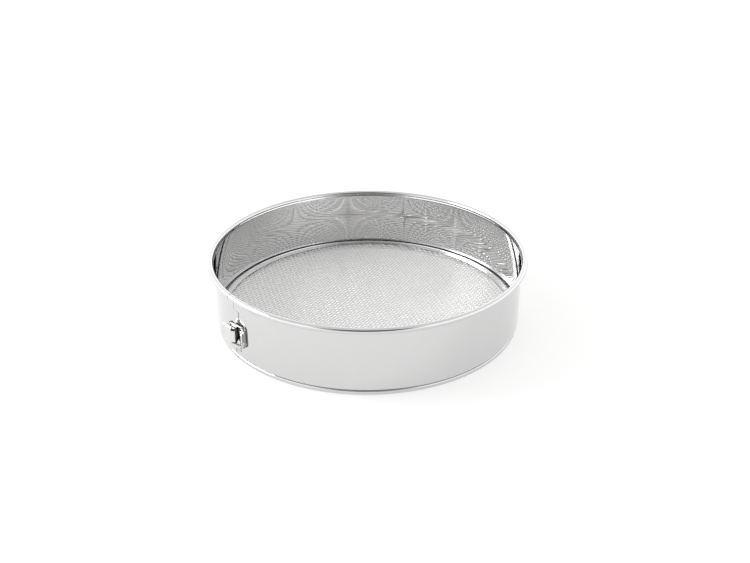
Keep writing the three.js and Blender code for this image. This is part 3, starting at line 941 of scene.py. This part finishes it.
class SIEVE_OT_fixed_clasp(Operator):
    """Makes the clasp's fixed pieces: bracket, pin, catch and the four rivets"""

    bl_idname = "sieve.fixed_clasp"
    bl_label = "Bracket, pin, catch and rivets"

    def execute(self, context):
        self.bracket()
        self.catch()
        self.pin()
        self.rivets()
        return {"FINISHED"}

    def bracket(self):
        """A plate bent to the wall with two flat ears that carry the pin."""
        low, high = BRACKET_LOW[2], BRACKET_HIGH[2]
        flat = curved_plate(low, high, BRACKET_FROM_X, BRACKET_TO_X, BRACKET_CORNER)
        plate = new_sheet("bracket_pressing", *flat, PLATE_SHEET)
        foot = -WALL_OUTSIDE - 0.6
        top = arc(LEVER_PIVOT[:2], EAR_RADIUS, -135, 21.6, 12)[::-1]
        outline = np.concatenate([[[-1, foot], [LEVER_PIVOT[0] + 0.3, foot]], top])
        ears = joined(prism(outline, low, low + EAR_SHEET), prism(outline, high - EAR_SHEET, high))
        merge(plate, new_piece("bracket_ears", ears))
        soften(plate, 0.16)
        # The bracket's dark colour is painted shade for the crevice between its ears and the wall.
        finish_piece(plate, "band", "clasp_steel", crevice_shade_steel(), "clasp_bracket")

    def catch(self):
        """A plate bent to the wall with a tongue turned out of it."""
        low, high = CATCH_LOW[2], CATCH_HIGH[2]
        flat = curved_plate(low, high, CATCH_FROM_X, CATCH_TO_X, CATCH_CORNER)
        plate = new_sheet("catch_pressing", *flat, PLATE_SHEET)
        face = BAIL_HIGH[0] - sizes()["bail_wire"] - CATCH_CLEARANCE
        bend = [(face - 3.6, 0.6), (face - 0.45, 0.6), (face - 0.55, 3.1)]
        path = rounded(bend, [0, 1.0, 0], 6, closed=False)
        middle = (low + high) / 2
        t = np.concatenate([[0], np.cumsum(np.linalg.norm(np.diff(path, axis=0), axis=1))])
        corner = 1.6
        near_tip = np.clip((t - (t[-1] - corner)) / corner, 0, 1)
        half = TONGUE_HALF_HEIGHT - corner * (1 - np.sqrt(1 - near_tip**2 * 0.96))
        rows = np.linspace(-1, 1, 7)
        points = on_wall(path[:, :1], path[:, 1:], middle + half[:, None] * rows).reshape(-1, 3)
        faces = grid_faces(len(path), len(rows))
        merge(plate, new_sheet("catch_tongue", points, faces, TONGUE_SHEET))
        soften(plate, 0.14)
        finish_piece(plate, "band_end", "clasp_steel", clasp_steel(), "catch_plate")

    def pin(self):
        """A short rod with domed ends."""
        low, high = PIN_LOW[2], PIN_HIGH[2]
        radius = (PIN_HIGH[0] - PIN_LOW[0]) / 2
        dome = [(0, 0), (radius * 0.6, 0.04), (radius * 0.9, 0.14), (radius, 0.3)]
        profile = [(r, low + z) for r, z in dome] + [(r, high - z) for r, z in dome[::-1]]
        bar = round_bar(profile, (LEVER_PIVOT[0], LEVER_PIVOT[1], 0), (0, 0, 1))
        piece = new_piece("lever_pin", bar, 50)
        # The pin's dark colour is painted shade for the crevice round it.
        finish_piece(piece, "band", "wire_steel", crevice_shade_steel(), "clasp_pin")

    def rivets(self):
        """Domed heads outside, on shanks that end flush with the wall inside."""
        shank_end, head_foot = WALL_OUTSIDE - 0.7, WALL_OUTSIDE + 1.4
        for node, body in (
            ("bracket_rivet_upper", "band"), ("bracket_rivet_lower", "band"),
            ("catch_rivet_upper", "band_end"), ("catch_rivet_lower", "band_end"),
        ):
            low, high = node_box(node)
            x, z = (low[0] + high[0]) / 2, (low[2] + high[2]) / 2
            angle = math.atan2(-(abs(low[1]) + abs(high[1])) / 2, x)
            out = np.array([math.cos(angle), math.sin(angle), 0])
            dome = arc((0, 0), 1, 0, 90, 8)[:-1] * [RIVET_HEAD, RIVET_RISE] + [0, head_foot]
            profile = [
                (0, shank_end), (RIVET_SHANK, shank_end), (RIVET_SHANK, head_foot - 0.1),
                (RIVET_HEAD - 0.1, head_foot - 0.1), *map(tuple, dome), (0, head_foot + RIVET_RISE),
            ]
            piece = new_piece(f"{node}_head", round_bar(profile, (0, 0, z), out), 50)
            finish_piece(piece, body, "clasp_steel", clasp_steel(), node)


# ---- stage: these sizes are in metres ----

CAMERA_TURN = math.radians(-36)
CAMERA_ELEVATION = math.radians(25.72)
CAMERA_DISTANCE = 0.9
CAMERA_TARGET = Vector((0, 0, 0.06435))
CAMERA_ROLL = math.radians(0.33)
CAMERA_LENS = 45.71  # focal length in mm
CAMERA_SHIFT = (0.0101, -0.0396)
TENT_LOW = 1.85  # brightness of the white tent at floor level and overhead
TENT_TOP = 0.78
TENT_SEEN = 1.1  # its brightness where it is looked at directly
FLOOR_SIDE = 12.0
FLOOR_GLOW = 0.63
GAP_MIDDLE = math.radians(14)  # the dark gap's full darkness reaches this far from its middle
GAP_EDGE = math.radians(42)
GAP_LEVEL = 0.12  # what is left of the tent's brightness in the gap


def floor_material():
    """Opal acrylic lit from below: an even white glow, so that shadows on it stay faint, and a
    matt face with a very faint mottle."""
    material = bpy.data.materials.new("backlit_opal_acrylic")
    material.use_nodes = True
    tree = material.node_tree
    tree.nodes.clear()
    place = add_node(tree, "ShaderNodeTexCoord").outputs["Object"]
    cloud = add_node(
        tree, "ShaderNodeTexNoise", {}, {"Scale": 9.0, "Detail": 3.0}, {"Vector": place}
    ).outputs["Fac"]
    shader = add_node(
        tree, "ShaderNodeBsdfPrincipled", {},
        {
            "Roughness": 0.9, "Specular IOR Level": 0.1,
            "Emission Color": (1, 1, 1, 1), "Emission Strength": FLOOR_GLOW,
        },
        {"Base Color": mottled(tree, bpy.context.scene.sieve_colours.floor, 0.01, cloud)},
    )
    add_node(tree, "ShaderNodeOutputMaterial", {}, {}, {"Surface": shader.outputs["BSDF"]})
    return material


def camera_direction():
    """From the ring towards the camera."""
    flat, rise = math.cos(CAMERA_ELEVATION), math.sin(CAMERA_ELEVATION)
    return Vector((flat * math.cos(CAMERA_TURN), flat * math.sin(CAMERA_TURN), rise))


class SIEVE_OT_stage(Operator):
    """Makes the floor, the soft studio light and the camera"""

    bl_idname = "sieve.stage"
    bl_label = "Floor, light and camera"

    def execute(self, context):
        scene = context.scene
        scene.view_settings.view_transform = "Standard"
        self.floor(scene)
        self.world(scene)
        self.lights(scene)
        self.camera(scene)
        return {"FINISHED"}

    def floor(self, scene):
        """A square sheet that the sieve stands on, a tenth of a millimetre under it."""
        mesh = bpy.data.meshes.new("floor")
        half, level = FLOOR_SIDE / 2, -0.1 * MM
        corners = [(-half, -half), (half, -half), (half, half), (-half, half)]
        mesh.from_pydata([(x, y, level) for x, y in corners], [], [(0, 1, 2, 3)])
        mesh.materials.append(floor_material())
        floor = bpy.data.objects.new("floor", mesh)
        scene.collection.objects.link(floor)

    def world(self, scene):
        """A white tent: brightest low down, less bright overhead, and with a soft dark gap on
        the side where the camera looks in."""
        world = bpy.data.worlds.new("white_tent")
        scene.world = world
        world.use_nodes = True
        tree = world.node_tree
        tree.nodes.clear()
        way = add_node(tree, "ShaderNodeTexCoord").outputs["Generated"]
        rise = add_node(tree, "ShaderNodeSeparateXYZ", {}, {}, {"Vector": way}).outputs["Z"]
        wall = add_node(
            tree, "ShaderNodeMapRange", {},
            {"From Min": 0.0, "From Max": 1.0, "To Min": TENT_LOW, "To Max": TENT_TOP},
            {"Value": rise},
        ).outputs["Result"]
        near = add_node(
            tree, "ShaderNodeVectorMath", {"operation": "DOT_PRODUCT"},
            {1: camera_direction()}, {0: way},
        ).outputs["Value"]
        gap = add_node(
            tree, "ShaderNodeMapRange", {"interpolation_type": "SMOOTHSTEP"},
            {
                "From Min": math.cos(GAP_EDGE), "From Max": math.cos(GAP_MIDDLE),
                "To Min": 1.0, "To Max": GAP_LEVEL,
            },
            {"Value": near},
        ).outputs["Result"]
        glow = add_node(
            tree, "ShaderNodeMath", {"operation": "MULTIPLY"}, {}, {0: wall, 1: gap}
        ).outputs[0]
        seen = add_node(tree, "ShaderNodeLightPath").outputs["Is Camera Ray"]
        level = add_node(
            tree, "ShaderNodeMix", {"data_type": "FLOAT"}, {3: TENT_SEEN}, {0: seen, 2: glow}
        ).outputs[0]
        light = add_node(
            tree, "ShaderNodeBackground", {}, {"Color": (1, 1, 1, 1)}, {"Strength": level}
        )
        add_node(tree, "ShaderNodeOutputWorld", {}, {}, {"Surface": light.outputs["Background"]})

    def lights(self, scene):
        """A broad soft light on the left and a weaker one overhead."""
        towards = camera_direction()
        left = Vector((math.sin(CAMERA_TURN), -math.cos(CAMERA_TURN), 0))
        for name, place, watts, width in (
            ("soft_left", left * 1.3 - towards * 0.1 + Vector((0, 0, 0.75)), 15, 1.0),
            ("soft_top", Vector((0, 0, 1.8)), 0.5, 1.6),
        ):
            data = bpy.data.lights.new(name, "AREA")
            data.shape = "DISK"
            data.size = width
            data.energy = watts
            lamp = bpy.data.objects.new(name, data)
            lamp.location = place
            lamp.rotation_mode = "QUATERNION"
            lamp.rotation_quaternion = place.to_track_quat("Z", "Y")
            scene.collection.objects.link(lamp)

    def camera(self, scene):
        """On the line to the middle of the rim, with the picture's middle moved off it."""
        towards = camera_direction()
        data = bpy.data.cameras.new("camera")
        data.lens = CAMERA_LENS
        data.shift_x, data.shift_y = CAMERA_SHIFT
        data.clip_end = 50
        camera = bpy.data.objects.new("camera", data)
        camera.location = CAMERA_TARGET + towards * CAMERA_DISTANCE
        camera.rotation_mode = "QUATERNION"
        look = (-towards).to_track_quat("-Z", "Y").to_matrix()
        camera.rotation_quaternion = (look @ Matrix.Rotation(-CAMERA_ROLL, 3, "Z")).to_quaternion()
        scene.collection.objects.link(camera)
        scene.camera = camera


class SIEVE_PT_panel(Panel):
    """Sizes, colours and the steps that make the sieve"""

    bl_label = "Soil sieve"
    bl_idname = "SIEVE_PT_panel"
    bl_space_type = "VIEW_3D"
    bl_region_type = "UI"
    bl_category = "Soil sieve"

    def draw(self, context):
        scene = context.scene
        for group in (scene.sieve_sizes, scene.sieve_colours):
            column = self.layout.column(align=True)
            for name in type(group).__annotations__:
                column.prop(group, name)
        for operator in STEPS:
            self.layout.operator(operator.bl_idname)


STEPS = (
    SIEVE_OT_stage, SIEVE_OT_band, SIEVE_OT_rim_wires, SIEVE_OT_insert_rings, SIEVE_OT_screen,
    SIEVE_OT_fixed_clasp, SIEVE_OT_lever, SIEVE_OT_bail,
)
CLASSES = (SieveSizes, SieveColours, *STEPS, SIEVE_PT_panel)


def register():
    for item in CLASSES:
        bpy.utils.register_class(item)
    bpy.types.Scene.sieve_sizes = PointerProperty(type=SieveSizes)
    bpy.types.Scene.sieve_colours = PointerProperty(type=SieveColours)


def unregister():
    del bpy.types.Scene.sieve_colours
    del bpy.types.Scene.sieve_sizes
    for item in reversed(CLASSES):
        bpy.utils.unregister_class(item)


def main():
    """Makes every piece in order."""
    register()
    bpy.ops.sieve.stage()
    bpy.ops.sieve.band()
    bpy.ops.sieve.rim_wires()
    bpy.ops.sieve.insert_rings()
    bpy.ops.sieve.screen()
    bpy.ops.sieve.fixed_clasp()
    bpy.ops.sieve.lever()
    bpy.ops.sieve.bail()
    bpy.context.view_layer.update()


if __name__ == "__main__":
    main()
